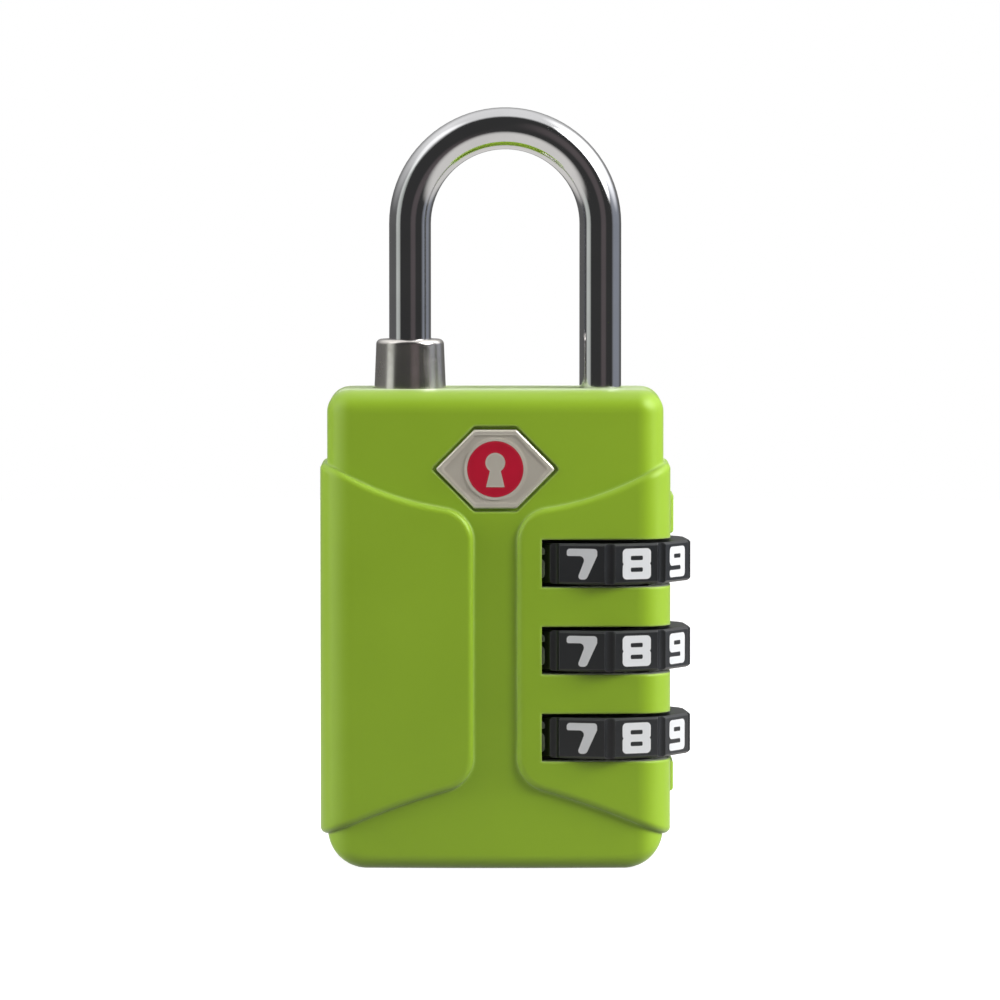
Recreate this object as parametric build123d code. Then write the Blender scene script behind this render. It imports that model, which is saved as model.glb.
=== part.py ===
from build123d import *
import math
import os

os.makedirs("parts", exist_ok=True)

# A three-dial luggage padlock, standing upright on its flat base. Millimetres. X points to the right, -Y to
# the front, +Z up. The origin is the centre of the flat bottom face.

# Body
BODY_HEIGHT = 41.0
PANEL_HALF_WIDTH = 15.0
PANEL_HALF_DEPTH = 6.95
PANEL_RAISE = 0.6
FRONT_BOW = 200.0
CORNER_RADIUS = 3.0
STEP_RADIUS = 0.55
TOP_EDGE_RADIUS = 1.9
BOTTOM_EDGE_RADIUS = 1.2
BOTTOM_CORNER_RADIUS = 3.4
PANEL_CORNER_RADIUS = 2.9
CHANNEL_HALF_WIDTH = 1.85
PANEL_FAR_X = PANEL_HALF_WIDTH + 2
PANEL_TOP_CURVE = [(CHANNEL_HALF_WIDTH, 30.75), (9.6, 32.4), (PANEL_FAR_X, 36.7)]
PANEL_BOTTOM_CURVE = [(PANEL_FAR_X, 1.55), (9.3, 5.0), (CHANNEL_HALF_WIDTH, 7.35)]
PAD_RAISE = 0.3
PAD_HALF_DEPTH = 2.4
PAD_HEIGHTS = [(6.4, 9.0), (28.6, 32.0)]
PAD_NOTCH = 0.3
SEAM_GAP = 0.06
BASE_THICKNESS = 1.6

# Shackle
SHACKLE_DIAMETER = 3.6
HEEL_X = 9.03
TOE_X = -7.34
SHACKLE_TOP = 65.1
TOE_CHAMFER = 0.3
SPINDLE_RADIUS = 1.45
SPINDLE_LOW = 7.2
SPINDLE_HIGH = 32.9
LUG_RADIUS = 2.45
LUG_WIDTH = 1.2
LUG_HEIGHT = 1.0

# Dials and code sleeves
DIAL_PITCH = 7.45
DIAL_HEIGHTS = [18.8 + DIAL_PITCH, 18.8, 18.8 - DIAL_PITCH]
DIAL_THICKNESS = 3.47
DIAL_APOTHEM = 7.6
DIAL_RADIUS = 7.85
DIGIT_COUNT = 10
FIRST_GROOVE_ANGLE = 5.5
GROOVE_DEPTH = 0.25
GROOVE_RADIUS = 0.55
FIGURE_HALF_WIDTH = 1.32
FIGURE_HALF_HEIGHT = 1.31
FIGURE_STEM = 0.75
FIGURE_BAR = 0.62
FIGURE_CORNER = 0.38
FIGURE_HOLE_CORNER = 0.12
FIGURE_DEPTH = 0.2
FIGURE_PROUD = 0.02
SEVEN_ANGLE = -12.5
SLOT_HEIGHT = 4.1
SLOT_RADIUS = 8.1
SLOT_LEFT = 3.97
RIM_CHAMFER = 0.18
BOSS_HEIGHT = 0.24
SLEEVE_RADIUS = 3.3
SLEEVE_HEIGHT = 7.4
GATE_HEIGHT = 3.9
LUG_DROP = 1.3
RESET_TRAVEL = 1.2
FIN_RADIUS = 3.85
FIN_WIDTH = 1.1
FIN_HEIGHT = 1.0

# Collar and override lock
COLLAR_HEIGHT = 4.2
COLLAR_BASE_RADIUS = 3.075
COLLAR_TOP_RADIUS = 2.9
COLLAR_EDGE_RADIUS = 0.45
COLLAR_TRAVEL = 4.25
COLLAR_TAIL_LOW = 26.5
TOE_END = BODY_HEIGHT + 0.15
CAM_RADIUS = 1.9
CAM_TOP = 29.5
CAM_FLANGE_TOP = 15.8
CAM_LEAD = 4 * COLLAR_TRAVEL
PIN_RADIUS = 0.5
PIN_HEIGHT = 28.0
PIN_INNER = 1.0
PIN_REACH = 3.6
PLUG_RADIUS = 3.1
PLUG_LOW = 0.4
PLUG_HIGH = 14.0
CYLINDER_RADIUS = 4.0
CYLINDER_HIGH = 13.2
KEYWAY_TOP = 12.0
CLIP_LOW = 13.2
CLIP_HIGH = 13.7
CLIP_SEAT = 2.6
KEYWAY_HALF_THICKNESS = 0.5
KEYWAY_HALF_WIDTH = 2.2
WAFER_HEIGHTS = [3.0, 5.2, 7.4, 9.6]
WAFER_THICKNESS = 0.7
WAFER_HALF_WIDTH = 1.25
TANG_HALF_WIDTH = 1.6
TANG_HALF_THICKNESS = 0.6
TANG_HEIGHT = 1.0

# Frame inside the shells
CHASSIS_HALF_WIDTH = 13.1
CHASSIS_HALF_DEPTH = 4.7
CHASSIS_CORNER = 1.0
CHASSIS_LOW = BASE_THICKNESS
CHASSIS_HIGH = BODY_HEIGHT - 1.9
BUSH_LOW = 32.3
BUSH_HIGH = 37.0
BUSH_RADIUS = 3.0
SHELL_PIN_SPOTS = [(-11.5, 36.8), (4.9, 36.8), (-1.3, 4.6), (4.3, 4.6)]
SHELL_PIN_RADIUS = 0.8
SHELL_PIN_HALF_LENGTH = 5.4

# Springs and the click leaf
SEAT_TOP = 3.4
SPRING_FLOOR = 2.2
SPRING_CLEARANCE = 0.02
SLEEVE_COIL_RADIUS = 2.55
SLEEVE_WIRE_RADIUS = 0.25
SLEEVE_COIL_TURNS = 3.5
SHACKLE_COIL_RADIUS = 1.1
SHACKLE_WIRE_RADIUS = 0.2
SHACKLE_COIL_TURNS = 6.5
LEAF_X = 0.3
LEAF_Y = 1.7
LEAF_THICKNESS = 0.25
LEAF_HALF_WIDTH = 1.4
LEAF_REACH = 2.8
LEAF_TIP_RADIUS = 0.25
LEAF_TIP_HEIGHT = 2.2

# Badge
BADGE_Z = 34.3
BADGE_HALF_WIDTH = 5.1
BADGE_HALF_HEIGHT = 3.35
BADGE_FLAT = 1.8
BADGE_FLOOR = 5.85
BADGE_THICKNESS = 0.6
BADGE_MARGIN = 0.3
BADGE_CHAMFER = 0.12
BADGE_RIM = 0.45
BADGE_SINK = 0.12
BADGE_RING = 0.24
INLAY_RADIUS = 2.4
INLAY_DEPTH = 0.2
KEYHOLE_HEAD_RADIUS = 0.85
KEYHOLE_HEAD_RISE = 0.55
KEYHOLE_NECK = 0.3
KEYHOLE_FOOT = 0.8
KEYHOLE_DROP = 1.55

# Fits
FIT = 0.05
GAP = 0.08


def rod(x, low, high, radius):
    """An upright round bar at (x, 0)."""
    return Pos(x, 0, low) * Cylinder(radius, high - low, align=(Align.CENTER, Align.CENTER, Align.MIN))


def block(x0, x1, y0, y1, z0, z1):
    """A rectangular block between two corners."""
    centre = Pos((x0 + x1) / 2, (y0 + y1) / 2, (z0 + z1) / 2)
    return centre * Box(x1 - x0, y1 - y0, z1 - z0)


def frame_block(margin):
    """The frame's outer block, or with a margin the cavity that holds it."""
    half_width = CHASSIS_HALF_WIDTH + margin
    half_depth = CHASSIS_HALF_DEPTH + margin
    low = CHASSIS_LOW - margin
    high = CHASSIS_HIGH + margin
    solid = block(-half_width, half_width, -half_depth, half_depth, low, high)
    return fillet(solid.edges().filter_by(Axis.Z), CHASSIS_CORNER)


def cross_bar(x, z, half_length, radius):
    """A round bar along Y."""
    return Pos(x, 0, z) * Rot(90, 0, 0) * Cylinder(radius, 2 * half_length)


def coil(x, low, high, coil_radius, wire_radius, turns):
    """A round-wire compression spring that fills the height from low to high."""
    height = high - low - 2 * wire_radius
    path = Helix(pitch=height / turns, height=height, radius=coil_radius)
    wire = Plane(origin=path @ 0, z_dir=path % 0) * Circle(wire_radius)
    return Pos(x, 0, low + wire_radius) * sweep(wire, path=path, is_frenet=True)


# ---- Shells ----


def plan_section(half_width, half_depth, corner_radius):
    """The body seen from above: bowed front and back, straight sides, round corners."""
    edge_depth = half_depth - half_width**2 / (2 * FRONT_BOW)
    front = ThreePointArc((-half_width, -edge_depth), (0, -half_depth), (half_width, -edge_depth))
    right = Line((half_width, -edge_depth), (half_width, edge_depth))
    back = ThreePointArc((half_width, edge_depth), (0, half_depth), (-half_width, edge_depth))
    left = Line((-half_width, edge_depth), (-half_width, -edge_depth))
    section = make_face([front, right, back, left])
    return fillet(section.vertices(), corner_radius)


def core():
    """The plain body under the raised side panels, with round bottom corners and a soft top edge."""
    half_width = PANEL_HALF_WIDTH - PANEL_RAISE
    half_depth = PANEL_HALF_DEPTH - PANEL_RAISE
    prism = extrude(plan_section(half_width, half_depth, CORNER_RADIUS - PANEL_RAISE), BODY_HEIGHT)
    front_view = Plane.XZ * Pos(0, BODY_HEIGHT / 2) * Rectangle(2 * half_width, BODY_HEIGHT)
    front_view = fillet(front_view.vertices().sort_by(Axis.Z)[:2], BOTTOM_CORNER_RADIUS)
    solid = prism & extrude(front_view, 2 * half_depth, both=True)
    return fillet(solid.faces().sort_by(Axis.Z)[-1].edges(), TOP_EDGE_RADIUS)


def panel_outline():
    """The front view of the raised right-hand panel: half an hourglass, open to the body's edge."""
    top = ThreePointArc(*PANEL_TOP_CURVE)
    outer = Line(PANEL_TOP_CURVE[-1], PANEL_BOTTOM_CURVE[0])
    bottom = ThreePointArc(*PANEL_BOTTOM_CURVE)
    inner = Line(PANEL_BOTTOM_CURVE[-1], PANEL_TOP_CURVE[0])
    outline = make_face([top, outer, bottom, inner])
    inner_corners = outline.vertices().sort_by(Axis.X)[:2]
    return fillet(inner_corners, PANEL_CORNER_RADIUS)


def raised_panel():
    """The raised right-hand panel, which wraps round the side, with its step's upper edge rounded off."""
    section = plan_section(PANEL_HALF_WIDTH, PANEL_HALF_DEPTH, CORNER_RADIUS)
    solid = extrude(Plane.XZ * panel_outline(), 2 * PANEL_HALF_DEPTH, both=True)
    solid &= extrude(section, BODY_HEIGHT)
    upright = [face for face in solid.faces() if abs(face.normal_at().Y) < 0.01]
    walls = [face for face in upright if face.center().X < PANEL_HALF_WIDTH - 0.01]
    wall_edges = [edge for wall in walls for edge in wall.edges()]
    outer_edges = [edge for edge in wall_edges if wall_edges.count(edge) == 1]
    return fillet(outer_edges, STEP_RADIUS)


def side_pad(low, high):
    """A low pad on the right side that marks where the code is read, with a notch across it."""
    face_x = PANEL_HALF_WIDTH + PAD_RAISE
    pad = block(PANEL_HALF_WIDTH - 1, face_x, -PAD_HALF_DEPTH, PAD_HALF_DEPTH, low, high)
    outer_face = pad.faces().sort_by(Axis.X)[-1]
    pad = fillet(outer_face.edges(), PAD_RAISE * 0.9)
    notch_y = DIAL_APOTHEM * math.sin(math.radians(FIRST_GROOVE_ANGLE))
    notch = Pos(face_x, notch_y, (low + high) / 2) * Rot(0, 0, 45) * Box(PAD_NOTCH, PAD_NOTCH, high - low)
    return pad - notch


def body_block():
    """The whole outer shape of the body before anything is cut out of it."""
    right = raised_panel()
    solid = core() + right + mirror(right, Plane.YZ)
    solid = fillet(solid.faces().sort_by(Axis.Z)[0].edges(), BOTTOM_EDGE_RADIUS)
    for low, high in PAD_HEIGHTS:
        solid += side_pad(low, high)
    return solid


def dial_windows():
    """The slots that the dials turn in: straight-ended windows in front of a round pocket."""
    cuts = Part()
    far = PANEL_HALF_WIDTH + 5
    for height in DIAL_HEIGHTS:
        low = height - SLOT_HEIGHT / 2
        high = height + SLOT_HEIGHT / 2
        cuts += rod(HEEL_X, low, high, SLOT_RADIUS)
        for side in (-1, 1):
            near_y = side * (CHASSIS_HALF_DEPTH + 0.4)
            far_y = side * 2 * PANEL_HALF_DEPTH
            cuts += block(SLOT_LEFT, far, min(near_y, far_y), max(near_y, far_y), low, high)
        cuts += block(HEEL_X, far, -PANEL_HALF_DEPTH, PANEL_HALF_DEPTH, low, high)
    return cuts


def shell_pin_rods(radius, half_length):
    """A round bar at each of the four places where a cross pin goes through."""
    return [cross_bar(x, z, half_length, radius) for x, z in SHELL_PIN_SPOTS]


def badge_hexagon(margin):
    """The badge's six-sided outline, pointed to left and right, grown by a margin."""
    half_width = BADGE_HALF_WIDTH + margin * 1.17
    half_height = BADGE_HALF_HEIGHT + margin
    corners = [
        (half_width, 0),
        (BADGE_FLAT, half_height),
        (-BADGE_FLAT, half_height),
        (-half_width, 0),
        (-BADGE_FLAT, -half_height),
        (BADGE_FLAT, -half_height),
    ]
    outline = make_face(Polyline(corners, close=True))
    outline = fillet(outline.vertices(), 0.25)
    return Plane.XZ * Pos(0, BADGE_Z) * outline


def hollow_body():
    """The outer shape less the frame's cavity, the dial windows, the leg holes and the pin sockets."""
    solid = body_block()
    solid -= frame_block(FIT)
    solid -= dial_windows()
    solid -= rod(HEEL_X, CHASSIS_HIGH, BODY_HEIGHT + 1, SHACKLE_DIAMETER / 2 + GAP)
    solid -= rod(TOE_X, CHASSIS_HIGH, BODY_HEIGHT + 1, COLLAR_BASE_RADIUS + GAP)
    solid -= rod(TOE_X, -1, CHASSIS_LOW, PLUG_RADIUS + GAP)
    for pin in shell_pin_rods(SHELL_PIN_RADIUS, SHELL_PIN_HALF_LENGTH + FIT):
        solid -= pin
    return solid


def front_shell():
    """The front half of the moulded body, with the badge's recess."""
    recess = extrude(badge_hexagon(BADGE_MARGIN), PANEL_HALF_DEPTH + 1)
    recess -= block(-10, 10, -BADGE_FLOOR, 0, 0, BODY_HEIGHT)
    half = hollow_body() & block(-20, 20, -20, -SEAM_GAP / 2, -1, BODY_HEIGHT + 1)
    return half - recess


def rear_shell():
    """The rear half of the moulded body."""
    return hollow_body() & block(-20, 20, SEAM_GAP / 2, 20, -1, BODY_HEIGHT + 1)


def shell_pins():
    """Four cross pins that hold both shells to the frame."""
    pins = shell_pin_rods(SHELL_PIN_RADIUS - FIT / 2, SHELL_PIN_HALF_LENGTH)
    return Compound(children=pins)


# ---- Frame ----


def leaf_pocket():
    """The pocket in the frame that the click leaf stands in."""
    low = DIAL_HEIGHTS[-1] - LEAF_REACH - 0.1
    high = DIAL_HEIGHTS[0] + LEAF_REACH + 0.1
    near_y = LEAF_Y - LEAF_HALF_WIDTH - 0.2
    far_y = LEAF_Y + LEAF_HALF_WIDTH + 0.2
    return block(LEAF_X - 0.3, HEEL_X - SLEEVE_RADIUS - 3, near_y, far_y, low, high)


def chassis():
    """The cast zinc frame: ribs between the dials, the spindle's bore and the override lock's bore."""
    solid = frame_block(0)
    sleeve_top = DIAL_HEIGHTS[0] + SLEEVE_HEIGHT / 2
    for height in DIAL_HEIGHTS:
        low = height - SLOT_HEIGHT / 2
        high = height + SLOT_HEIGHT / 2
        solid -= rod(HEEL_X, low, high, SLOT_RADIUS)
        lower_boss = rod(HEEL_X, low, low + BOSS_HEIGHT, SLEEVE_RADIUS + 1)
        upper_boss = rod(HEEL_X, high - BOSS_HEIGHT, high, SLEEVE_RADIUS + 1)
        solid += (lower_boss + upper_boss) & frame_block(0)
    solid -= rod(HEEL_X, CHASSIS_LOW, sleeve_top + FIT, SLEEVE_RADIUS + GAP)
    solid -= rod(HEEL_X, sleeve_top, BUSH_LOW, LUG_RADIUS + 0.3)
    solid -= rod(HEEL_X, BUSH_LOW, CHASSIS_HIGH, BUSH_RADIUS + FIT / 2)
    solid -= rod(TOE_X, CHASSIS_LOW, CAM_FLANGE_TOP + 0.2, CYLINDER_RADIUS + FIT / 2)
    solid -= rod(TOE_X, CAM_FLANGE_TOP, COLLAR_TAIL_LOW - COLLAR_TRAVEL - 0.5, CAM_RADIUS + GAP)
    solid -= rod(TOE_X, COLLAR_TAIL_LOW - COLLAR_TRAVEL - 0.5, CHASSIS_HIGH, COLLAR_BASE_RADIUS + GAP)
    slot_low = PIN_HEIGHT - COLLAR_TRAVEL - PIN_RADIUS - 0.15
    slot_high = PIN_HEIGHT + PIN_RADIUS + 0.15
    slot_half_width = PIN_RADIUS + GAP
    solid -= block(TOE_X - PIN_REACH - 0.15, TOE_X, -slot_half_width, slot_half_width, slot_low, slot_high)
    solid -= leaf_pocket()
    for pin in shell_pin_rods(SHELL_PIN_RADIUS, CHASSIS_HALF_DEPTH + 1):
        solid -= pin
    return solid


def heel_bush():
    """The bush pressed in above the dials: the spindle passes it and the lugs cannot."""
    bush = rod(HEEL_X, BUSH_LOW, BUSH_HIGH, BUSH_RADIUS)
    return bush - rod(HEEL_X, BUSH_LOW, BUSH_HIGH, SHACKLE_DIAMETER / 2 + GAP)


def spring_seat():
    """The plug that closes the bottom of the spindle's bore and carries both springs."""
    seat = rod(HEEL_X, CHASSIS_LOW + FIT, SEAT_TOP, SLEEVE_RADIUS)
    return seat - rod(HEEL_X, SPRING_FLOOR, SEAT_TOP, SPINDLE_RADIUS + 0.1)


def sleeve_spring():
    """The wide spring that holds the code sleeves up in the dials."""
    low = SEAT_TOP + SPRING_CLEARANCE
    high = DIAL_HEIGHTS[-1] - SLEEVE_HEIGHT / 2 - SPRING_CLEARANCE
    return coil(HEEL_X, low, high, SLEEVE_COIL_RADIUS, SLEEVE_WIRE_RADIUS, SLEEVE_COIL_TURNS)


def shackle_spring():
    """The narrow spring under the spindle."""
    low = SPRING_FLOOR + SPRING_CLEARANCE
    high = SPINDLE_LOW - SPRING_CLEARANCE
    return coil(HEEL_X, low, high, SHACKLE_COIL_RADIUS, SHACKLE_WIRE_RADIUS, SHACKLE_COIL_TURNS)


# ---- Dials and sleeves ----


def groove_direction(angle):
    """The X and Y of a direction, counted from the front towards the right."""
    radians = math.radians(angle)
    return math.sin(radians), -math.cos(radians)


def dial(height):
    """A ten-sided dial with a click groove at each corner and splines inside for its sleeve."""
    low = height - DIAL_THICKNESS / 2
    high = height + DIAL_THICKNESS / 2
    step = 360 / DIGIT_COUNT
    sides = RegularPolygon(DIAL_APOTHEM, DIGIT_COUNT, major_radius=False)
    turn = FIRST_GROOVE_ANGLE - 90
    solid = Pos(HEEL_X, 0, low) * Rot(0, 0, turn) * extrude(sides, DIAL_THICKNESS)
    solid &= rod(HEEL_X, low, high, DIAL_RADIUS)
    rims = [edge for edge in solid.edges() if abs(edge.tangent_at(0.5).Z) < 0.01]
    solid = chamfer(rims, RIM_CHAMFER)
    for index in range(DIGIT_COUNT):
        x, y = groove_direction(FIRST_GROOVE_ANGLE + index * step)
        distance = DIAL_RADIUS - GROOVE_DEPTH + GROOVE_RADIUS
        groove = Pos(HEEL_X + distance * x, distance * y, height) * Cylinder(GROOVE_RADIUS, DIAL_THICKNESS)
        solid -= groove
    solid -= rod(HEEL_X, low, high, SLEEVE_RADIUS + FIT)
    solid -= rod(HEEL_X, height - RESET_TRAVEL - 0.1, height, FIN_RADIUS + GAP)
    splines = Part()
    for index in range(DIGIT_COUNT):
        tooth = block(0, FIN_RADIUS + GAP, -FIN_WIDTH / 2 - GAP, FIN_WIDTH / 2 + GAP, height, high)
        splines += Pos(HEEL_X, 0, 0) * Rot(0, 0, index * step) * tooth
    solid -= splines & rod(HEEL_X, low, high, FIN_RADIUS + GAP)
    for pocket in figures(height, FIGURE_DEPTH, 1.0):
        solid -= pocket
    return solid


def rectangle_points(left, low, right, high):
    """The corners of an upright rectangle, in order."""
    return [(left, low), (right, low), (right, high), (left, high)]


def figure_outlines():
    """Square bold figures: for each, its outer outline and the outlines of its holes."""
    side = FIGURE_HALF_WIDTH
    top = FIGURE_HALF_HEIGHT
    inner = side - FIGURE_STEM
    bar = top - FIGURE_BAR
    mid = FIGURE_BAR / 2
    waist = side - 0.1
    upper_hole = rectangle_points(-inner, mid, inner, bar)
    lower_hole = rectangle_points(-inner, -bar, inner, -mid)
    tall_hole = rectangle_points(-inner, -bar, inner, bar)
    two = [(-side, top), (side, top), (side, -mid), (-inner, -mid), (-inner, -bar), (side, -bar)]
    two += [(side, -top), (-side, -top), (-side, mid), (inner, mid), (inner, bar), (-side, bar)]
    three = [(-side, top), (side, top), (side, -top), (-side, -top), (-side, -bar), (inner, -bar)]
    three += [(inner, -mid), (-inner, -mid), (-inner, mid), (inner, mid), (inner, bar), (-side, bar)]
    four = [(-side, top), (-inner, top), (-inner, 0.1), (0.3, 0.1), (0.3, top), (1.05, top), (1.05, 0.1)]
    four += [(side, 0.1), (side, -0.5), (1.05, -0.5), (1.05, -top), (0.3, -top), (0.3, -0.5), (-side, -0.5)]
    six = [(side, top), (-side, top), (-side, -top), (side, -top), (side, mid), (-inner, mid)]
    six += [(-inner, bar), (side, bar)]
    eight = [(-side, top), (side, top), (side, 0.15), (waist, 0), (side, -0.15), (side, -top)]
    eight += [(-side, -top), (-side, -0.15), (-waist, 0), (-side, 0.15)]
    one = [(-0.35, -top), (0.4, -top), (0.4, top), (-0.15, top), (-0.95, 0.75), (-0.95, 0.1), (-0.35, 0.45)]
    seven = [(-side, top), (side, top), (side, 0.72), (0.38, -top), (-0.42, -top), (0.35, bar), (-side, bar)]
    half_turned = [(-x, -y) for x, y in six]
    mirrored = [(-x, y) for x, y in two]
    zero = rectangle_points(-side, -top, side, top)
    return [
        (zero, [tall_hole]),
        (one, []),
        (two, []),
        (three, []),
        (four, []),
        (mirrored, []),
        (six, [lower_hole]),
        (seven, []),
        (eight, [upper_hole, lower_hole]),
        (half_turned, [upper_hole]),
    ]


def rounded_outline(points, radius):
    """A closed outline with each corner rounded as far as its two sides allow."""
    outline = make_face(Polyline(points, close=True))
    for x, y in points:
        corner = outline.vertices().sort_by_distance((x, y, 0))[0]
        sides = [edge for edge in outline.edges() if corner in edge.vertices()]
        reach = 0.45 * min(edge.length for edge in sides)
        outline = fillet(corner, min(radius, reach))
    return outline


def figures(height, depth, proud):
    """The ten figures of one dial, set into its faces from a depth and standing a little proud."""
    step = 360 / DIGIT_COUNT
    shapes = []
    for digit, (outer, holes) in enumerate(figure_outlines()):
        face = rounded_outline(outer, FIGURE_CORNER)
        for hole in holes:
            face -= rounded_outline(hole, FIGURE_HOLE_CORNER)
        angle = SEVEN_ANGLE + step * (digit - 7)
        facet = Pos(HEEL_X, 0, height) * Rot(0, 0, angle) * Pos(0, -DIAL_APOTHEM + depth, 0)
        shapes.append(facet * extrude(Plane.XZ * face, depth + proud))
    return shapes


def dial_figures(height):
    """The white figures moulded into one dial."""
    return Compound(children=figures(height, FIGURE_DEPTH, FIGURE_PROUD))


def sleeve(height):
    """A code sleeve: its upper part has the gate for the spindle's lug, its lower part is open round it."""
    low = height - SLEEVE_HEIGHT / 2
    high = height + SLEEVE_HEIGHT / 2
    solid = rod(HEEL_X, low, high, SLEEVE_RADIUS)
    for index in range(DIGIT_COUNT):
        fin = block(SLEEVE_RADIUS - 0.5, FIN_RADIUS, -FIN_WIDTH / 2, FIN_WIDTH / 2, 0, FIN_HEIGHT)
        solid += Pos(HEEL_X, 0, height + 0.1) * Rot(0, 0, index * 360 / DIGIT_COUNT) * fin
    solid -= rod(HEEL_X, low, high, SPINDLE_RADIUS + GAP)
    solid -= rod(HEEL_X, low, high - GATE_HEIGHT, LUG_RADIUS + 0.15)
    half_width = LUG_WIDTH / 2 + GAP
    return solid - block(HEEL_X - LUG_RADIUS - 0.1, HEEL_X, -half_width, half_width, low, high)


# ---- Shackle ----


def lug(height):
    """One spindle lug, which rests below the gate of the sleeve round it."""
    top = height + SLEEVE_HEIGHT / 2 - GATE_HEIGHT - LUG_DROP
    arm = block(HEEL_X - LUG_RADIUS, HEEL_X, -LUG_WIDTH / 2, LUG_WIDTH / 2, top - LUG_HEIGHT, top)
    return arm & rod(HEEL_X, top - LUG_HEIGHT, top, LUG_RADIUS)


def shackle():
    """The round bar bent into a U. Its heel leg goes on down as the spindle with three lugs."""
    radius = SHACKLE_DIAMETER / 2
    bend = (HEEL_X - TOE_X) / 2
    middle = (HEEL_X + TOE_X) / 2
    springing = SHACKLE_TOP - radius - bend
    bow = Pos(middle, 0, springing) * Rot(90, 0, 0) * Torus(bend, radius)
    bow &= block(TOE_X - 5, HEEL_X + 5, -5, 5, springing, SHACKLE_TOP + 5)
    toe = rod(TOE_X, TOE_END, springing, radius)
    toe = chamfer(toe.faces().sort_by(Axis.Z)[0].edges(), TOE_CHAMFER)
    heel = rod(HEEL_X, SPINDLE_HIGH, springing, radius)
    spindle = rod(HEEL_X, SPINDLE_LOW, SPINDLE_HIGH, SPINDLE_RADIUS)
    solid = bow + toe + heel + spindle
    for height in DIAL_HEIGHTS:
        solid += lug(height)
    return solid


# ---- Collar and override lock ----


def collar():
    """The cast collar that the toe stands in, with a tail that the cam draws down into the body."""
    top = BODY_HEIGHT + COLLAR_HEIGHT
    upright = (Align.CENTER, Align.CENTER, Align.MIN)
    cone = Cone(COLLAR_BASE_RADIUS, COLLAR_TOP_RADIUS, COLLAR_HEIGHT, align=upright)
    cap = Pos(TOE_X, 0, BODY_HEIGHT) * cone
    cap = fillet(cap.faces().sort_by(Axis.Z)[-1].edges(), COLLAR_EDGE_RADIUS)
    solid = cap + rod(TOE_X, COLLAR_TAIL_LOW, BODY_HEIGHT, COLLAR_BASE_RADIUS)
    solid -= rod(TOE_X, BODY_HEIGHT - FIT, top + 1, SHACKLE_DIAMETER / 2 + GAP)
    solid -= rod(TOE_X, COLLAR_TAIL_LOW, CAM_TOP + COLLAR_TRAVEL + 0.4, CAM_RADIUS + GAP)
    return solid - side_rod(CAM_RADIUS, COLLAR_BASE_RADIUS + 1, PIN_RADIUS + 0.02)


def side_rod(near, far, radius):
    """A short rod at the pin's height, pointing left from the toe's axis."""
    length = far - near
    return Pos(TOE_X - (near + far) / 2, 0, PIN_HEIGHT) * Rot(0, 90, 0) * Cylinder(radius, length)


def collar_pin():
    """The pin through the collar's tail: its inner end rides in the cam, its outer end in the frame."""
    return side_rod(PIN_INNER, PIN_REACH, PIN_RADIUS)


def cam_groove():
    """A quarter turn of right-handed helix round the cam, with a round end at each height of the pin."""
    inner = PIN_INNER - 0.15
    outer = CAM_RADIUS + 0.4
    middle = (inner + outer) / 2
    half_width = PIN_RADIUS + 0.15
    path = Helix(pitch=CAM_LEAD, height=COLLAR_TRAVEL, radius=middle)
    start = Plane(origin=path @ 0, x_dir=(1, 0, 0), z_dir=path % 0)
    groove = sweep(start * Rectangle(outer - inner, 2 * half_width), path=path, is_frenet=True)
    end = Pos(middle, 0, 0) * Rot(0, 90, 0) * Cylinder(half_width, outer - inner)
    groove += end
    groove += Pos(0, 0, COLLAR_TRAVEL) * Rot(0, 0, 90) * end
    return Pos(TOE_X, 0, PIN_HEIGHT - COLLAR_TRAVEL) * Rot(0, 0, 90) * groove


def drive_tang(margin):
    """The tang on top of the plug, or with a margin the slot for it."""
    half_width = TANG_HALF_WIDTH + margin
    half_thickness = TANG_HALF_THICKNESS + margin
    top = PLUG_HIGH + TANG_HEIGHT + margin
    return block(TOE_X - half_width, TOE_X + half_width, -half_thickness, half_thickness, PLUG_HIGH, top)


def lift_cam():
    """The cam that the plug turns: a flange, a shaft and the helical groove for the collar's pin."""
    solid = rod(TOE_X, PLUG_HIGH + FIT, CAM_FLANGE_TOP, PLUG_RADIUS)
    solid += rod(TOE_X, CAM_FLANGE_TOP, CAM_TOP, CAM_RADIUS)
    solid -= drive_tang(GAP)
    return solid - cam_groove()


def key_cylinder():
    """The fixed barrel that the plug turns in."""
    barrel = rod(TOE_X, CHASSIS_LOW + FIT, CYLINDER_HIGH, CYLINDER_RADIUS)
    return barrel - rod(TOE_X, CHASSIS_LOW, CYLINDER_HIGH, PLUG_RADIUS + FIT)


def wafer_slot(height, margin):
    """The space of one wafer right through the plug, grown by a margin."""
    half = WAFER_HALF_WIDTH + margin
    reach = PLUG_RADIUS + 1
    top = height + WAFER_THICKNESS + margin
    return block(TOE_X - half, TOE_X + half, -reach, reach, height - margin, top)


def keyway(margin, low, high):
    """The slot for the key between two heights, grown by a margin."""
    half_thickness = KEYWAY_HALF_THICKNESS + margin
    half_width = KEYWAY_HALF_WIDTH + margin
    return block(TOE_X - half_thickness, TOE_X + half_thickness, -half_width, half_width, low, high)


def key_plug():
    """The plug that the key turns: keyway from below, wafer slots across it, clip groove and tang on top."""
    solid = rod(TOE_X, PLUG_LOW, PLUG_HIGH, PLUG_RADIUS)
    rim = solid.faces().sort_by(Axis.Z)[0].edges()
    solid = chamfer(rim, 0.2)
    solid -= keyway(0, PLUG_LOW - 1, KEYWAY_TOP)
    for height in WAFER_HEIGHTS:
        solid -= wafer_slot(height, FIT)
    solid -= rod(TOE_X, CLIP_LOW, CLIP_HIGH, PLUG_RADIUS + 1) - rod(TOE_X, CLIP_LOW, CLIP_HIGH, CLIP_SEAT)
    return solid + drive_tang(0)


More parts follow.
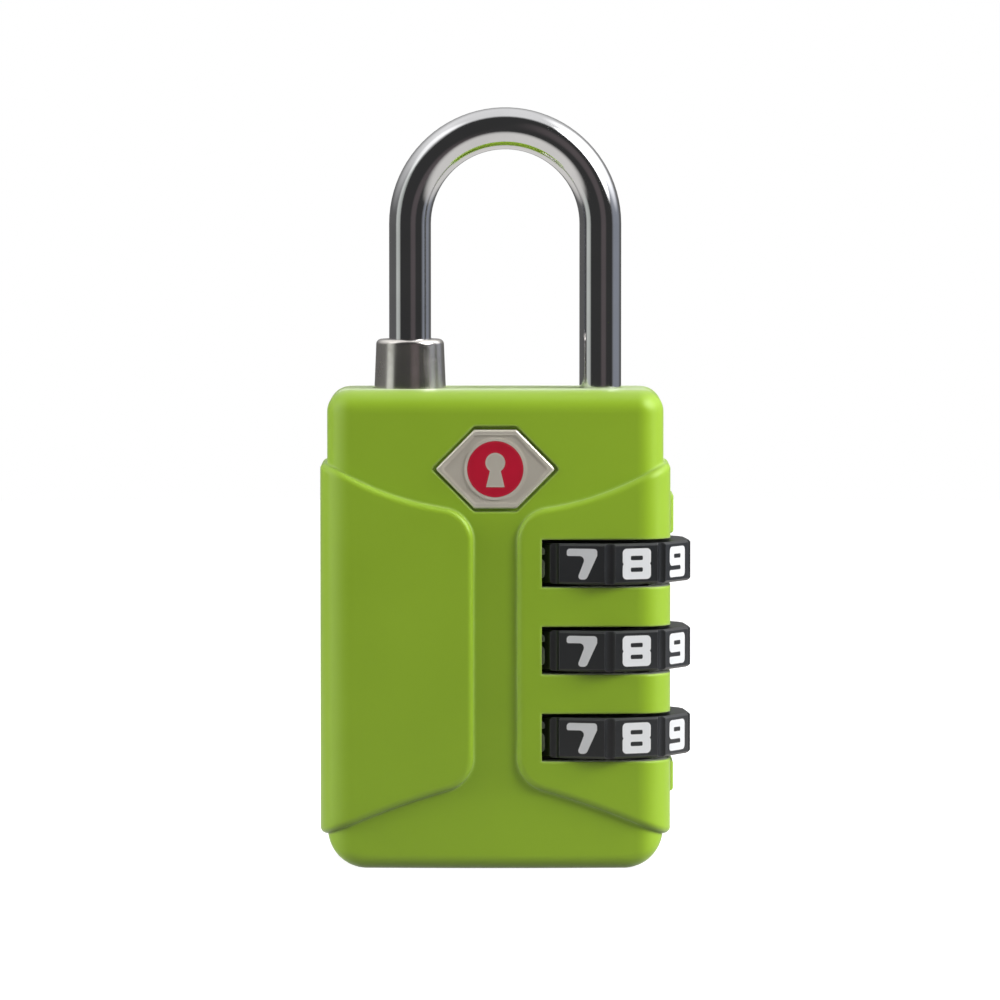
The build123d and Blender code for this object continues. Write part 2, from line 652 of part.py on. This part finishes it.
def wafers():
    """The brass wafers, drawn in flush with the plug as the key holds them."""
    plates = []
    for height in WAFER_HEIGHTS:
        top = height + WAFER_THICKNESS
        plate = wafer_slot(height, 0) & rod(TOE_X, height, top, PLUG_RADIUS - FIT)
        plates.append(plate - keyway(0.12, height, top))
    return Compound(children=plates)


def plug_clip():
    """The open spring clip in the plug's groove, which rests on the barrel's upper end."""
    ring = rod(TOE_X, CLIP_LOW + FIT, CLIP_HIGH - FIT, CYLINDER_RADIUS - 0.2)
    ring -= rod(TOE_X, CLIP_LOW, CLIP_HIGH, CLIP_SEAT + FIT / 2)
    return ring - block(TOE_X, TOE_X + 5, -CLIP_SEAT * 0.7, CLIP_SEAT * 0.7, CLIP_LOW, CLIP_HIGH)


# ---- Small parts ----


def detent_leaf():
    """The leaf spring beside the dials, with one rounded ridge at the mouth of a groove on each dial."""
    low = DIAL_HEIGHTS[-1] - LEAF_REACH
    high = DIAL_HEIGHTS[0] + LEAF_REACH
    near_y = LEAF_Y - LEAF_HALF_WIDTH
    far_y = LEAF_Y + LEAF_HALF_WIDTH
    solid = block(LEAF_X, LEAF_X + LEAF_THICKNESS, near_y, far_y, low, high)
    groove_angle = FIRST_GROOVE_ANGLE - 3 * 360 / DIGIT_COUNT
    x, y = groove_direction(groove_angle)
    reach = DIAL_RADIUS + 0.03 + LEAF_TIP_RADIUS
    tip_x = HEEL_X + reach * x
    tip_y = reach * y
    for height in DIAL_HEIGHTS:
        solid += Pos(tip_x, tip_y, height) * Cylinder(LEAF_TIP_RADIUS, LEAF_TIP_HEIGHT)
        arm_low = height - LEAF_TIP_HEIGHT / 2
        arm_high = height + LEAF_TIP_HEIGHT / 2
        solid += block(LEAF_X, tip_x, tip_y - LEAF_TIP_RADIUS, tip_y + LEAF_TIP_RADIUS, arm_low, arm_high)
    return solid


def badge_plate():
    """The six-sided metal badge: a rim, a sunk field, and a ring that holds the enamel round a keyhole."""
    low = BADGE_FLOOR
    plate = extrude(badge_hexagon(0), low + BADGE_THICKNESS)
    plate -= block(-10, 10, -low - 0.01, 0, 0, BODY_HEIGHT)
    face = [f for f in plate.faces() if f.normal_at().Y < -0.99][0]
    plate = chamfer(face.edges(), BADGE_CHAMFER)
    sunk = badge_hexagon(-BADGE_RIM) - Plane.XZ * Pos(0, BADGE_Z) * Circle(INLAY_RADIUS + BADGE_RING)
    floor = low + BADGE_THICKNESS - BADGE_SINK
    plate -= Pos(0, -floor, 0) * extrude(sunk, 1)
    return plate - inlay_blank(0.02)


def keyhole(margin):
    """A plain keyhole shape: a round head over a flared foot."""
    neck = KEYHOLE_NECK + margin
    foot = KEYHOLE_FOOT + margin
    drop = KEYHOLE_DROP + margin
    head = Pos(0, KEYHOLE_HEAD_RISE) * Circle(KEYHOLE_HEAD_RADIUS + margin)
    corners = [(-neck, KEYHOLE_HEAD_RISE), (neck, KEYHOLE_HEAD_RISE), (foot, -drop), (-foot, -drop)]
    return head + make_face(Polyline(corners, close=True))


def inlay_blank(margin):
    """The round enamel field round the keyhole."""
    field = Circle(INLAY_RADIUS + margin) - keyhole(-margin)
    low = BADGE_FLOOR + BADGE_THICKNESS - INLAY_DEPTH - margin
    return Pos(0, -low, 0) * extrude(Plane.XZ * Pos(0, BADGE_Z) * field, INLAY_DEPTH + margin)


def badge_inlay():
    """The red enamel in the badge."""
    return inlay_blank(0)


single_parts = [
    front_shell,
    rear_shell,
    shell_pins,
    chassis,
    heel_bush,
    spring_seat,
    sleeve_spring,
    shackle_spring,
    detent_leaf,
    shackle,
    collar,
    collar_pin,
    lift_cam,
    key_cylinder,
    key_plug,
    wafers,
    plug_clip,
    badge_plate,
    badge_inlay,
]
for make in single_parts:
    export_step(make(), f"parts/{make.__name__}.step")
for number, height in enumerate(DIAL_HEIGHTS, start=1):
    export_step(dial(height), f"parts/dial_{number}.step")
    export_step(dial_figures(height), f"parts/dial_{number}_figures.step")
    export_step(sleeve(height), f"parts/sleeve_{number}.step")
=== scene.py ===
import bmesh
import bpy
import math
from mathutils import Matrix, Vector


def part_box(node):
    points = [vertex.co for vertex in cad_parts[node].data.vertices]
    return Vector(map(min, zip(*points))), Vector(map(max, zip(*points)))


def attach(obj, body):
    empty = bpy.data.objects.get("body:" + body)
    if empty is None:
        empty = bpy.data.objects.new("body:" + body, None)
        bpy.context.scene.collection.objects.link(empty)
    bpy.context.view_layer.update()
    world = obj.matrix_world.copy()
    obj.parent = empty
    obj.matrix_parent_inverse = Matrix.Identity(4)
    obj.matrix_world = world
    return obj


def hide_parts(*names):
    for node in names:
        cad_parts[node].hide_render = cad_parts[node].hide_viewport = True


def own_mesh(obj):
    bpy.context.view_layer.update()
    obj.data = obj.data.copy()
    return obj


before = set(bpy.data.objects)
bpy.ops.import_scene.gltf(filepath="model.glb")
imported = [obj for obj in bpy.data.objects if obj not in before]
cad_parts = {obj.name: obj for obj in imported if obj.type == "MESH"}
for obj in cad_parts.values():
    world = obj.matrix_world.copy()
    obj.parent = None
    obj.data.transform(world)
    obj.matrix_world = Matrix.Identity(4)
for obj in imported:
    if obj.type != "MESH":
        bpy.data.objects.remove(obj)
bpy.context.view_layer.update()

# The camera stands over half a metre off with a long lens, level with the top of the shackle, and looks down
# a little at the middle of the padlock.
MM = 0.001
CAMERA_DISTANCE = 600 * MM
CAMERA_HEIGHT = 65.6 * MM
VIEW_WIDTH = 86.2 * MM
AIM = Vector((0.4 * MM, 0, 31.3 * MM))

camera_data = bpy.data.cameras.new("camera")
camera_data.sensor_width = 36
camera = bpy.data.objects.new("camera", camera_data)
bpy.context.scene.collection.objects.link(camera)
camera.location = (AIM.x, -CAMERA_DISTANCE, CAMERA_HEIGHT)
camera.rotation_euler = (AIM - camera.location).to_track_quat("-Z", "Y").to_euler()
camera_data.lens = camera_data.sensor_width * (AIM - camera.location).length / VIEW_WIDTH
bpy.context.scene.camera = camera
bpy.context.scene.view_settings.view_transform = "Standard"


# The studio lamps are large and soft: the key stands to the upper right, a bank hangs overhead, and weak
# fills stand in front and to the left. What polished metal mirrors is the surround, further down.
LAMP_TARGET = Vector((0, 0, 30 * MM))


def new_object(name, data):
    made = bpy.data.objects.new(name, data)
    bpy.context.scene.collection.objects.link(made)
    return made


def soft_box(name, position, width, height, power):
    """A rectangular area light that faces the padlock and lights it without being mirrored in it."""
    data = bpy.data.lights.new(name, "AREA")
    data.shape = "RECTANGLE"
    data.size = width
    data.size_y = height
    data.energy = power
    lamp = new_object(name, data)
    lamp.location = position
    lamp.rotation_euler = (LAMP_TARGET - Vector(position)).to_track_quat("-Z", "Y").to_euler()
    lamp.visible_glossy = False
    lamp.visible_camera = False


# Each lamp: name, position in metres, width, height, power in watts.
soft_box("key_box", (0.30, -0.20, 0.24), 0.16, 0.16, 1.15)
soft_box("overhead_box", (0.03, 0.02, 0.50), 0.40, 0.30, 0.82)
soft_box("front_fill", (0.05, -0.70, 0.30), 0.50, 0.40, 0.45)
soft_box("left_fill", (-0.45, -0.25, 0.20), 0.20, 0.40, 0.45)
soft_box("left_side_box", (-0.42, -0.04, 0.10), 0.20, 0.40, 2.3)
soft_box("right_side_box", (0.42, -0.02, 0.12), 0.20, 0.40, 2.8)


# The surround is what the chrome mirrors: a dark room behind the camera, pale walls behind the padlock, a
# bright ceiling, and soft lamps that show as streaks on the shackle.
def add_node(tree, kind, **values):
    """A shader node whose properties and inputs are set by name."""
    node = tree.nodes.new(kind)
    for key, value in values.items():
        if hasattr(node, key):
            setattr(node, key, value)
        else:
            node.inputs[key.replace("_", " ")].default_value = value
    return node


def join(tree, source, socket, target, target_socket):
    tree.links.new(source.outputs[socket], target.inputs[target_socket])


def add_ramp(tree, source, socket, stops):
    """A colour ramp on a value: stops are (position, colour) pairs."""
    ramp = tree.nodes.new("ShaderNodeValToRGB")
    elements = ramp.color_ramp.elements
    while len(elements) < len(stops):
        elements.new(0.5)
    for element, (position, colour) in zip(elements, stops):
        element.position = position
        element.color = colour if len(colour) == 4 else (*colour, 1)
    tree.links.new(source.outputs[socket], ramp.inputs[0])
    return ramp


def grey(level):
    return (level, level, level, 1)


def colour_mix(tree, factor, first, second, blend_type="MIX"):
    """Mixes two colours: each argument is an output socket or a plain value."""
    mix = tree.nodes.new("ShaderNodeMix")
    mix.data_type = "RGBA"
    mix.blend_type = blend_type
    for index, value in ((0, factor), (6, first), (7, second)):
        if isinstance(value, bpy.types.NodeSocket):
            tree.links.new(value, mix.inputs[index])
        else:
            mix.inputs[index].default_value = value
    return mix.outputs[2]


# The walls' brightness against height, from straight down (0) through level (0.5) to straight up (1).
WALL_TONES = [(0.0, grey(0.30)), (0.46, grey(0.13)), (0.54, grey(0.15)), (0.72, grey(0.50)), (0.9, grey(1.0))]
DARK_ROOM = grey(0.045)
DARK_ROOM_STARTS = -0.24
DARK_ROOM_FULL = -0.46
ROOM_LIGHT = grey(0.09)
WHITE = grey(1.0)

world = bpy.data.worlds.new("studio_surround")
bpy.context.scene.world = world
world.use_nodes = True
surround = world.node_tree
surround.nodes.clear()
direction = add_node(surround, "ShaderNodeTexCoord")
axes = add_node(surround, "ShaderNodeSeparateXYZ")
join(surround, direction, "Generated", axes, 0)
rise = add_node(surround, "ShaderNodeMapRange", From_Min=-1.0, From_Max=1.0)
join(surround, axes, "Z", rise, "Value")
walls = add_ramp(surround, rise, 0, WALL_TONES)
behind_camera = add_node(
    surround,
    "ShaderNodeMapRange",
    interpolation_type="SMOOTHSTEP",
    From_Min=DARK_ROOM_STARTS,
    From_Max=DARK_ROOM_FULL,
)
join(surround, axes, "Y", behind_camera, "Value")
mirrored = colour_mix(surround, behind_camera.outputs[0], walls.outputs[0], DARK_ROOM)

# Each streak: direction from the padlock, upright stretch, inner and outer angle in degrees, colour.
STREAKS = [
    ((0.70, -0.32, 0.62), 0.6, 8, 21, (9.0, 9.0, 9.0, 1)),
    ((-0.62, -0.22, 0.72), 0.8, 6, 24, (0.6, 0.6, 0.6, 1)),
    ((0.80, 0.25, 0.62), 1.0, 12, 34, (1.1, 1.1, 1.1, 1)),
    ((-0.75, 0.35, 0.60), 1.0, 10, 34, (0.15, 0.15, 0.15, 1)),
    ((-0.93, -0.36, -0.03), 0.3, 6, 17, (0.52, 0.55, 0.52, 1)),
    ((0.98, 0.18, 0.0), 0.3, 16, 36, (0.16, 0.18, 0.23, 1)),
    ((0.30, -0.95, -0.05), 0.3, 5, 18, (0.075, 0.058, 0.062, 1)),
]
for toward, stretch, inner, outer, colour in STREAKS:
    squeezed = add_node(surround, "ShaderNodeVectorMath", operation="MULTIPLY")
    join(surround, direction, "Generated", squeezed, 0)
    squeezed.inputs[1].default_value = (1, 1, stretch)
    unit = add_node(surround, "ShaderNodeVectorMath", operation="NORMALIZE")
    join(surround, squeezed, 0, unit, 0)
    closeness = add_node(surround, "ShaderNodeVectorMath", operation="DOT_PRODUCT")
    join(surround, unit, 0, closeness, 0)
    closeness.inputs[1].default_value = Vector((toward[0], toward[1], toward[2] * stretch)).normalized()
    streak = add_node(
        surround,
        "ShaderNodeMapRange",
        interpolation_type="SMOOTHSTEP",
        From_Min=math.cos(math.radians(outer)),
        From_Max=math.cos(math.radians(inner)),
    )
    join(surround, closeness, "Value", streak, "Value")
    mirrored = colour_mix(surround, streak.outputs[0], mirrored, colour, "ADD")
ray_kind = add_node(surround, "ShaderNodeLightPath")
lit = colour_mix(surround, ray_kind.outputs["Is Glossy Ray"], ROOM_LIGHT, mirrored)
seen = colour_mix(surround, ray_kind.outputs["Is Camera Ray"], lit, WHITE)
glow = add_node(surround, "ShaderNodeBackground")
surround.links.new(seen, glow.inputs["Color"])
surround_out = add_node(surround, "ShaderNodeOutputWorld")
join(surround, glow, 0, surround_out, "Surface")

# The table is a card that glows white to the camera. This painted light is a little dimmer round the padlock,
# so the faint shadow on its grey paint shows at its foot, and full white further out, so no edge of it shows.
# In reflections it is a painted glow round the padlock that fades out well before its rim. To all other light
# it is a dim grey card that bounces light up under the padlock.
TABLE_RADIUS = 0.55
TABLE_SIDES = 96
TABLE_GAP = 0.01 * MM
SHADE_RADIUS = 0.02
CLEAN_RADIUS = 0.07
PAINTED_REFLECTION_FULL_RADIUS = 0.09
PAINTED_REFLECTION_RADIUS = 0.24
table_mesh = bpy.data.meshes.new("table")
table_rim = [
    (
        TABLE_RADIUS * math.cos(math.tau * side / TABLE_SIDES),
        TABLE_RADIUS * math.sin(math.tau * side / TABLE_SIDES),
        -TABLE_GAP,
    )
    for side in range(TABLE_SIDES)
]
table_mesh.from_pydata(table_rim, [], [list(range(TABLE_SIDES))])
table = new_object("table", table_mesh)
glowing_card = bpy.data.materials.new("glowing_white_card")
glowing_card.use_nodes = True
tree = glowing_card.node_tree
tree.nodes.clear()
table_place = add_node(tree, "ShaderNodeTexCoord")
from_middle = add_node(tree, "ShaderNodeVectorMath", operation="LENGTH")
join(tree, table_place, "Object", from_middle, 0)
# Painted light: to the camera the card glows, dimmer round the padlock's foot and full white further out.
camera_glow_strength = add_node(
    tree, "ShaderNodeMapRange", From_Min=SHADE_RADIUS, From_Max=CLEAN_RADIUS, To_Min=0.86, To_Max=1.0
)
join(tree, from_middle, "Value", camera_glow_strength, "Value")
card_glow = add_node(tree, "ShaderNodeEmission", Color=WHITE)
join(tree, camera_glow_strength, 0, card_glow, "Strength")
card_paint = add_node(tree, "ShaderNodeBsdfDiffuse", Color=grey(0.35))
card_seen = add_node(tree, "ShaderNodeAddShader")
join(tree, card_glow, 0, card_seen, 0)
join(tree, card_paint, 0, card_seen, 1)
# Painted reflection: glossy rays see a glow round the padlock that fades to nothing further out.
near = add_node(
    tree,
    "ShaderNodeMapRange",
    interpolation_type="SMOOTHSTEP",
    From_Min=PAINTED_REFLECTION_RADIUS,
    From_Max=PAINTED_REFLECTION_FULL_RADIUS,
)
join(tree, from_middle, "Value", near, "Value")
painted_reflection_glow = add_node(tree, "ShaderNodeEmission", Color=(0.86, 0.84, 0.81, 1))
card_gone = add_node(tree, "ShaderNodeBsdfTransparent")
painted_reflection = add_node(tree, "ShaderNodeMixShader")
join(tree, near, 0, painted_reflection, 0)
join(tree, card_gone, 0, painted_reflection, 1)
join(tree, painted_reflection_glow, 0, painted_reflection, 2)
card_bounce = add_node(tree, "ShaderNodeBsdfDiffuse", Color=grey(0.16))
table_ray = add_node(tree, "ShaderNodeLightPath")
for_light = add_node(tree, "ShaderNodeMixShader")
join(tree, table_ray, "Is Glossy Ray", for_light, 0)
join(tree, card_bounce, 0, for_light, 1)
join(tree, painted_reflection, 0, for_light, 2)
for_eye = add_node(tree, "ShaderNodeMixShader")
join(tree, table_ray, "Is Camera Ray", for_eye, 0)
join(tree, for_light, 0, for_eye, 1)
join(tree, card_seen, 0, for_eye, 2)
table_out = add_node(tree, "ShaderNodeOutputMaterial")
join(tree, for_eye, 0, table_out, "Surface")
table_mesh.materials.append(glowing_card)


# The two body halves are injection moulded in lime green ABS with a fine spark-eroded satin, and they close
# round the zinc frame on its cross pins. Their edges and panel steps are painted a paler green in patches:
# partly rubbing where corners ride against luggage, partly a painted highlight along the steps.
def group_tree(name, inputs, outputs):
    """An empty shader node group with named inputs, each with its default, and named outputs."""
    tree = bpy.data.node_groups.new(name, "ShaderNodeTree")
    for socket_name, kind, default in inputs:
        socket = tree.interface.new_socket(socket_name, in_out="INPUT", socket_type=kind)
        socket.default_value = default
    for socket_name, kind in outputs:
        tree.interface.new_socket(socket_name, in_out="OUTPUT", socket_type=kind)
    return tree, tree.nodes.new("NodeGroupInput"), tree.nodes.new("NodeGroupOutput")


def place_group(tree, group, **values):
    node = tree.nodes.new("ShaderNodeGroup")
    node.node_tree = group
    for key, value in values.items():
        node.inputs[key.replace("_", " ")].default_value = value
    return node


FLOAT = "NodeSocketFloat"
BEVEL_SAMPLES = 6
EDGE_STARTS = 0.995
EDGE_FULL = 0.93

# Paler edges in patches: rubbed wear on most finishes, and on the lime shells a painted highlight along the
# panel steps too.
edge_wear_and_highlight, g_in, g_out = group_tree(
    "edge_wear_and_highlight", [("Width", FLOAT, 0.0003), ("Patchiness", FLOAT, 0.5)], [("Mask", FLOAT)]
)
rounded = add_node(edge_wear_and_highlight, "ShaderNodeBevel", samples=BEVEL_SAMPLES)
join(edge_wear_and_highlight, g_in, "Width", rounded, "Radius")
facing = add_node(edge_wear_and_highlight, "ShaderNodeNewGeometry")
agreement = add_node(edge_wear_and_highlight, "ShaderNodeVectorMath", operation="DOT_PRODUCT")
join(edge_wear_and_highlight, rounded, "Normal", agreement, 0)
join(edge_wear_and_highlight, facing, "Normal", agreement, 1)
edge = add_node(edge_wear_and_highlight, "ShaderNodeMapRange", From_Min=EDGE_STARTS, From_Max=EDGE_FULL)
join(edge_wear_and_highlight, agreement, "Value", edge, "Value")
place = add_node(edge_wear_and_highlight, "ShaderNodeTexCoord")
patches = add_node(edge_wear_and_highlight, "ShaderNodeTexNoise", Scale=420.0, Detail=3.0)
join(edge_wear_and_highlight, place, "Object", patches, "Vector")
patch_mask = add_node(edge_wear_and_highlight, "ShaderNodeMapRange", From_Min=0.42, From_Max=0.62)
join(edge_wear_and_highlight, patches, 0, patch_mask, "Value")
patchy = add_node(edge_wear_and_highlight, "ShaderNodeMix", data_type="FLOAT")
patchy.inputs[2].default_value = 1.0
join(edge_wear_and_highlight, g_in, "Patchiness", patchy, 0)
edge_wear_and_highlight.links.new(patch_mask.outputs[0], patchy.inputs[3])
edge_marks = add_node(edge_wear_and_highlight, "ShaderNodeMath", operation="MULTIPLY")
edge_wear_and_highlight.links.new(edge.outputs[0], edge_marks.inputs[0])
edge_wear_and_highlight.links.new(patchy.outputs[0], edge_marks.inputs[1])
join(edge_wear_and_highlight, edge_marks, 0, g_out, "Mask")

surface_grain, g_in, g_out = group_tree(
    "surface_grain",
    [("Grain Scale", FLOAT, 6000.0), ("Cloud Scale", FLOAT, 120.0), ("Cloud Depth", FLOAT, 0.3)],
    [("Height", FLOAT), ("Cloud", FLOAT)],
)
place = add_node(surface_grain, "ShaderNodeTexCoord")
grain = add_node(surface_grain, "ShaderNodeTexNoise", Detail=2.0, Roughness=0.6)
join(surface_grain, place, "Object", grain, "Vector")
join(surface_grain, g_in, "Grain Scale", grain, "Scale")
cloud = add_node(surface_grain, "ShaderNodeTexNoise", Detail=4.0, Roughness=0.55)
join(surface_grain, place, "Object", cloud, "Vector")
join(surface_grain, g_in, "Cloud Scale", cloud, "Scale")
height = add_node(surface_grain, "ShaderNodeMix", data_type="FLOAT")
join(surface_grain, g_in, "Cloud Depth", height, 0)
surface_grain.links.new(grain.outputs[0], height.inputs[2])
surface_grain.links.new(cloud.outputs[0], height.inputs[3])
join(surface_grain, height, 0, g_out, "Height")
join(surface_grain, cloud, 0, g_out, "Cloud")


RELIEF_DEPTH = 0.02 * MM
SHEEN_ROUGHNESS = 0.4


def finish_material(
    name,
    colour,
    cloud_colour,
    wear_and_highlight_colour,
    roughness,
    metallic=0.0,
    grain_scale=6000.0,
    cloud_scale=120.0,
    cloud_depth=0.3,
    bump=0.05,
    edge_width=0.3 * MM,
    patchiness=0.5,
    coat=0.0,
    specular=0.5,
    softness=0.0,
    sheen=0.0,
):
    """A surface with cloudy colour, grain that breaks up its gloss, and paler edges: rubbed wear, and on the
    lime shells a painted highlight as well.
    """
    material = bpy.data.materials.new(name)
    material.use_nodes = True
    tree = material.node_tree
    tree.nodes.clear()
    grains = place_group(
        tree, surface_grain, Grain_Scale=grain_scale, Cloud_Scale=cloud_scale, Cloud_Depth=cloud_depth
    )
    edges = place_group(tree, edge_wear_and_highlight, Width=edge_width, Patchiness=patchiness)
    clouded = add_ramp(tree, grains, "Cloud", [(0.3, colour), (0.7, cloud_colour)])
    coloured = add_node(tree, "ShaderNodeMix", data_type="RGBA")
    tree.links.new(edges.outputs[0], coloured.inputs[0])
    tree.links.new(clouded.outputs[0], coloured.inputs[6])
    coloured.inputs[7].default_value = (*wear_and_highlight_colour, 1)
    gloss = add_node(
        tree, "ShaderNodeMapRange", From_Min=0.3, From_Max=0.7, To_Min=roughness[0], To_Max=roughness[1]
    )
    join(tree, grains, "Cloud", gloss, "Value")
    relief = add_node(tree, "ShaderNodeBump", Strength=bump, Distance=RELIEF_DEPTH)
    join(tree, grains, "Height", relief, "Height")
    if softness:
        soft_steps = add_node(tree, "ShaderNodeBevel", samples=BEVEL_SAMPLES, Radius=softness)
        join(tree, soft_steps, "Normal", relief, "Normal")
    shader = add_node(
        tree,
        "ShaderNodeBsdfPrincipled",
        Metallic=metallic,
        Coat_Weight=coat,
        Specular_IOR_Level=specular,
        Sheen_Weight=sheen,
        Sheen_Roughness=SHEEN_ROUGHNESS,
    )
    tree.links.new(coloured.outputs[2], shader.inputs["Base Color"])
    join(tree, gloss, 0, shader, "Roughness")
    join(tree, relief, "Normal", shader, "Normal")
    out = add_node(tree, "ShaderNodeOutputMaterial")
    join(tree, shader, 0, out, "Surface")
    return material


def dress(node_name, material):
    """Gives a frame node its finish."""
    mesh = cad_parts[node_name].data
    mesh.materials.clear()
    mesh.materials.append(material)


lime_abs = finish_material(
    "lime_abs",
    colour=(0.230, 0.380, 0.008),
    cloud_colour=(0.246, 0.402, 0.012),
    # Painted highlight: this paler green on the edges and panel steps stands in for light catching them, as
    # well as rubbing.
    wear_and_highlight_colour=(0.33, 0.49, 0.08),
    roughness=(0.40, 0.48),
    specular=0.7,
    grain_scale=9000.0,
    cloud_scale=90.0,
    bump=0.12,
    edge_width=0.4 * MM,
    patchiness=0.5,
    sheen=0.35,
    softness=0.30 * MM,
)
dress("front_shell", lime_abs)
dress("rear_shell", lime_abs)

# The frame, its spring plug, the sleeves, the lift cam and the override lock's barrel are zinc pressure die
# castings. They never show, so they are left as cast: grey, cloudy and a little rough.
cast_zinc = finish_material(
    "cast_zinc",
    colour=(0.36, 0.35, 0.33),
    cloud_colour=(0.28, 0.275, 0.26),
    wear_and_highlight_colour=(0.55, 0.54, 0.51),
    roughness=(0.35, 0.55),
    metallic=1.0,
    grain_scale=3000.0,
    cloud_scale=400.0,
    bump=0.3,
)
for name in ("chassis", "spring_seat", "key_cylinder", "lift_cam", "sleeve_1", "sleeve_2", "sleeve_3"):
    dress(name, cast_zinc)

# The cross pins and the collar's pin are turned from bright steel rod. The shackle's spring, the clip and the
# click leaf are formed from drawn spring steel.
bright_steel = finish_material(
    "bright_steel",
    colour=(0.52, 0.52, 0.53),
    cloud_colour=(0.44, 0.44, 0.45),
    wear_and_highlight_colour=(0.7, 0.7, 0.7),
    roughness=(0.2, 0.32),
    metallic=1.0,
    grain_scale=5000.0,
)
for name in ("shell_pins", "collar_pin", "shackle_spring", "plug_clip", "detent_leaf"):
    dress(name, bright_steel)

# The sleeves' return spring is cold wound from round spring wire, with closed and ground ends. It sits on the
# plug below the dials and shortens as the sleeves are pushed down to set a new code.
SPRING_WIRE_RADIUS = 0.25 * MM
SPRING_ACTIVE_TURNS = 3.5
SPRING_STEPS_PER_TURN = 48
WIRE_SIDES = 12


def wound_spring(name, low, high, turns):
    """Round wire wound inside a box: its pitch eases in and out, so its turns lie closer at its two ends."""
    middle_x = (low.x + high.x) / 2
    middle_y = (low.y + high.y) / 2
    coil_radius = (high.x - low.x) / 2 - SPRING_WIRE_RADIUS
    climb = high.z - low.z - 2 * SPRING_WIRE_RADIUS
    steps = int(turns * SPRING_STEPS_PER_TURN)
    made = bmesh.new()
    rings = []
    for step in range(steps + 1):
        share = step / steps
        eased = share - math.sin(math.tau * share) / math.tau * 0.35
        angle = math.tau * turns * share
        outward = Vector((math.cos(angle), math.sin(angle), 0))
        centre = Vector((middle_x, middle_y, low.z + SPRING_WIRE_RADIUS + climb * eased))
        centre += outward * coil_radius
        ring = []
        for side in range(WIRE_SIDES):
            around = math.tau * side / WIRE_SIDES
            offset = outward * math.cos(around) + Vector((0, 0, 1)) * math.sin(around)
            ring.append(made.verts.new(centre + offset * SPRING_WIRE_RADIUS))
        rings.append(ring)
    for first, second in zip(rings, rings[1:]):
        for side in range(WIRE_SIDES):
            following = (side + 1) % WIRE_SIDES
            made.faces.new((first[side], second[side], second[following], first[following]))
    made.faces.new(rings[0])
    made.faces.new(reversed(rings[-1]))
    bmesh.ops.recalc_face_normals(made, faces=made.faces)
    mesh = bpy.data.meshes.new(name)
    made.to_mesh(mesh)
    made.free()
    for face in mesh.polygons:
        face.use_smooth = len(face.vertices) == 4
    return mesh


spring_low, spring_high = (Vector(corner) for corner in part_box("sleeve_spring"))
spring_mesh = wound_spring("return_spring", spring_low, spring_high, SPRING_ACTIVE_TURNS)
return_spring = new_object("return_spring", spring_mesh)
spring_mesh.materials.append(bright_steel)
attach(return_spring, "housing")
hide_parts("sleeve_spring")
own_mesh(return_spring)

# The heel bush and the key plug are turned from brass bar, and the wafers in the plug are stamped from brass
# sheet. All three are left unplated.
turned_brass = finish_material(
    "turned_brass",
    colour=(0.68, 0.50, 0.22),
    cloud_colour=(0.58, 0.41, 0.17),
    wear_and_highlight_colour=(0.80, 0.65, 0.36),
    roughness=(0.22, 0.36),
    metallic=1.0,
)
for name in ("heel_bush", "key_plug", "wafers"):
    dress(name, turned_brass)

# The shackle is cold-drawn steel bar, cut and turned at the heel, then bent to its U. It is polished along its
# length and chrome plated.
chrome = finish_material(
    "chrome",
    colour=(0.68, 0.68, 0.69),
    cloud_colour=(0.62, 0.62, 0.63),
    wear_and_highlight_colour=(0.72, 0.72, 0.73),
    roughness=(0.06, 0.11),
    metallic=1.0,
    grain_scale=2500.0,
    cloud_scale=250.0,
    bump=0.012,
    patchiness=0.9,
)
dress("shackle", chrome)

# The collar is a small zinc casting, barrel tumbled and then satin plated. Its skin stays faintly grained, and
# it looks duller than the shackle.
tumbled_zinc = finish_material(
    "tumbled_zinc",
    colour=(0.90, 0.86, 0.82),
    cloud_colour=(0.66, 0.62, 0.59),
    wear_and_highlight_colour=(0.92, 0.89, 0.85),
    roughness=(0.18, 0.30),
    metallic=1.0,
    grain_scale=7000.0,
    cloud_scale=500.0,
    cloud_depth=0.08,
    bump=0.10,
)
dress("collar", tumbled_zinc)

# The dials are moulded in black plastic with ten flat faces. Their figures are a second, white moulding, flush
# with each face.
black_plastic = finish_material(
    "black_plastic",
    colour=(0.009, 0.010, 0.011),
    cloud_colour=(0.013, 0.014, 0.016),
    wear_and_highlight_colour=(0.05, 0.051, 0.054),
    roughness=(0.28, 0.38),
    grain_scale=8000.0,
    bump=0.08,
    edge_width=0.15 * MM,
)
white_figures = finish_material(
    "white_figures",
    colour=(0.60, 0.61, 0.62),
    cloud_colour=(0.54, 0.55, 0.56),
    wear_and_highlight_colour=(0.62, 0.62, 0.62),
    roughness=(0.35, 0.5),
    grain_scale=8000.0,
    bump=0.05,
)
for number in (1, 2, 3):
    dress(f"dial_{number}", black_plastic)
    dress(f"dial_{number}_figures", white_figures)

# The badge is a plate stamped from sheet, satin nickelled and glued in a recess of the front half. Red enamel
# fills its sunk field round a plain keyhole.
satin_nickel = finish_material(
    "satin_nickel",
    colour=(0.62, 0.58, 0.50),
    cloud_colour=(0.53, 0.49, 0.42),
    wear_and_highlight_colour=(0.75, 0.71, 0.62),
    roughness=(0.30, 0.42),
    metallic=0.4,
    grain_scale=7000.0,
)
red_enamel = finish_material(
    "red_enamel",
    colour=(0.54, 0.010, 0.036),
    cloud_colour=(0.33, 0.007, 0.022),
    wear_and_highlight_colour=(0.52, 0.04, 0.06),
    roughness=(0.16, 0.26),
    coat=0.25,
)
dress("badge_plate", satin_nickel)
dress("badge_inlay", red_enamel)
